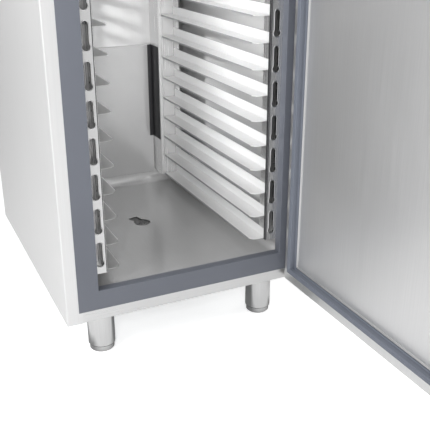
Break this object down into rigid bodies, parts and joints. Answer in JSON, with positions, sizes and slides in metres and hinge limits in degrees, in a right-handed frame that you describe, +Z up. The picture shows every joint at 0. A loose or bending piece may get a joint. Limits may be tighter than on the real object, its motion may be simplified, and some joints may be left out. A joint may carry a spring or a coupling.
{
  "type": "dough proofer retarder",
  "caption": "Upright stainless cabinet with an insulated door, tray runners, rear air duct, roof evaporator with fans and a refrigeration compartment on top.",
  "frame": {"origin": "on the floor under the centre of the cabinet's footprint, which leaves out the open door", "axes": "+Z up along the cabinet's height, -Y out of the cabinet's front, +X to the hinge side"},
  "size_m": [0.6715, 1.3864, 2.05],
  "materials": {
    "stainless": "brushed, fine vertical grain",
    "bright_steel": "polished",
    "frame_plastic": "satin blue-grey",
    "gasket_rubber": "matt",
    "foam": "closed-cell foam, hidden",
    "dark_plastic": "satin black",
    "key_plastic": "satin grey",
    "display_lens": "glossy dark lens",
    "white_plastic": "satin white",
    "fin_aluminium": "mill finish fins",
    "black_enamel": "black enamel",
    "galvanised": "zinc coated",
    "heater_sheath": "heat tinted sheath"
  },
  "bodies": {
    "cabinet": {"side_panel_left": "stainless", "side_panel_right": "stainless", "front_rails": "stainless", "back_panel": "galvanised", "base_panel": "galvanised", "roof_panel": "galvanised", "inner_liner": "stainless", "insulation": "foam", "drain_fitting": "stainless", "drain_strainer": "stainless", "door_frame": "frame_plastic", "rear_low_panel": "stainless", "air_duct_panel": "stainless", "upright_left": "stainless", "upright_right": "stainless", "rear_column_left": "stainless", "rear_column_right": "stainless", "runners_left": "stainless", "runners_right": "stainless", "leg_front_left": "stainless", "leg_front_right": "stainless", "leg_rear_left": "stainless", "leg_rear_right": "stainless", "hinge_bracket_bottom": "stainless", "hinge_bracket_top": "stainless", "control_panel": "stainless", "control_unit": "dark_plastic", "display_window": "display_lens", "switch_bezel": "dark_plastic", "top_cover": "stainless", "rear_grille": "galvanised", "cable_gland": "dark_plastic", "compressor": "black_enamel", "condenser": "fin_aluminium", "condenser_shroud": "galvanised", "humidifier": "white_plastic", "evaporator_cover": "stainless", "evaporator": "fin_aluminium", "fan_motors": "dark_plastic", "heating_element": "heater_sheath"},
    "door": {"door_outer_skin": "stainless", "door_core": "foam", "door_inner_panel": "stainless", "door_gasket": "gasket_rubber", "hinge_bushes": "white_plastic", "door_handle": "bright_steel", "lock_bezel": "bright_steel"},
    "lock": {"lock_barrel": "bright_steel"},
    "foot_front_left": {"foot_front_left": "stainless"},
    "foot_front_right": {"foot_front_right": "stainless"},
    "foot_rear_left": {"foot_rear_left": "stainless"},
    "foot_rear_right": {"foot_rear_right": "stainless"},
    "key_set": {"key_set": "key_plastic"},
    "key_down": {"key_down": "key_plastic"},
    "key_up": {"key_up": "key_plastic"},
    "key_stop": {"key_stop": "key_plastic"},
    "rocker": {"main_switch": "dark_plastic"},
    "condenser_fan": {"condenser_fan": "dark_plastic"},
    "evaporator_fan_left": {"evaporator_fan_left": "dark_plastic"},
    "evaporator_fan_right": {"evaporator_fan_right": "dark_plastic"}
  },
  "joints": [
    {"name": "door_hinge", "type": "hinge", "parent": "cabinet", "child": "door", "pos_m": [0.27442, -0.41873, 0.955], "axis": [0, 0, 1], "range_deg": [-90, 20]},
    {"name": "lock_turn", "type": "hinge", "parent": "door", "child": "lock", "pos_m": [0.3025, -0.94115, 0.694], "axis": [1, 0, 0], "range_deg": [0, 90]},
    {"name": "level_front_left", "type": "slide", "parent": "cabinet", "child": "foot_front_left", "axis": [0, 0, -1], "range_m": [-0.012, 0.025]},
    {"name": "level_front_right", "type": "slide", "parent": "cabinet", "child": "foot_front_right", "axis": [0, 0, -1], "range_m": [-0.012, 0.025]},
    {"name": "level_rear_left", "type": "slide", "parent": "cabinet", "child": "foot_rear_left", "axis": [0, 0, -1], "range_m": [-0.012, 0.025]},
    {"name": "level_rear_right", "type": "slide", "parent": "cabinet", "child": "foot_rear_right", "axis": [0, 0, -1], "range_m": [-0.012, 0.025]},
    {"name": "press_set", "type": "slide", "parent": "cabinet", "child": "key_set", "axis": [0, 1, 0], "range_m": [0, 0.0015], "stiffness_N_per_m": 800, "springref_m": -0.0004},
    {"name": "press_down", "type": "slide", "parent": "cabinet", "child": "key_down", "axis": [0, 1, 0], "range_m": [0, 0.0015], "stiffness_N_per_m": 800, "springref_m": -0.0004},
    {"name": "press_up", "type": "slide", "parent": "cabinet", "child": "key_up", "axis": [0, 1, 0], "range_m": [0, 0.0015], "stiffness_N_per_m": 800, "springref_m": -0.0004},
    {"name": "press_stop", "type": "slide", "parent": "cabinet", "child": "key_stop", "axis": [0, 1, 0], "range_m": [0, 0.0015], "stiffness_N_per_m": 800, "springref_m": -0.0004},
    {"name": "switch_rock", "type": "hinge", "parent": "cabinet", "child": "rocker", "pos_m": [-0.2, -0.4408, 1.9485], "axis": [-1, 0, 0], "range_deg": [0, 18]},
    {"name": "condenser_fan_spin", "type": "hinge", "parent": "cabinet", "child": "condenser_fan", "pos_m": [0.125, -0.105, 1.89], "axis": [0, 1, 0], "continuous": true},
    {"name": "evaporator_fan_left_spin", "type": "hinge", "parent": "cabinet", "child": "evaporator_fan_left", "pos_m": [-0.118, -0.0205, 1.633], "axis": [0, 1, 0], "continuous": true},
    {"name": "evaporator_fan_right_spin", "type": "hinge", "parent": "cabinet", "child": "evaporator_fan_right", "pos_m": [0.118, -0.0205, 1.633], "axis": [0, 1, 0], "continuous": true}
  ]
}
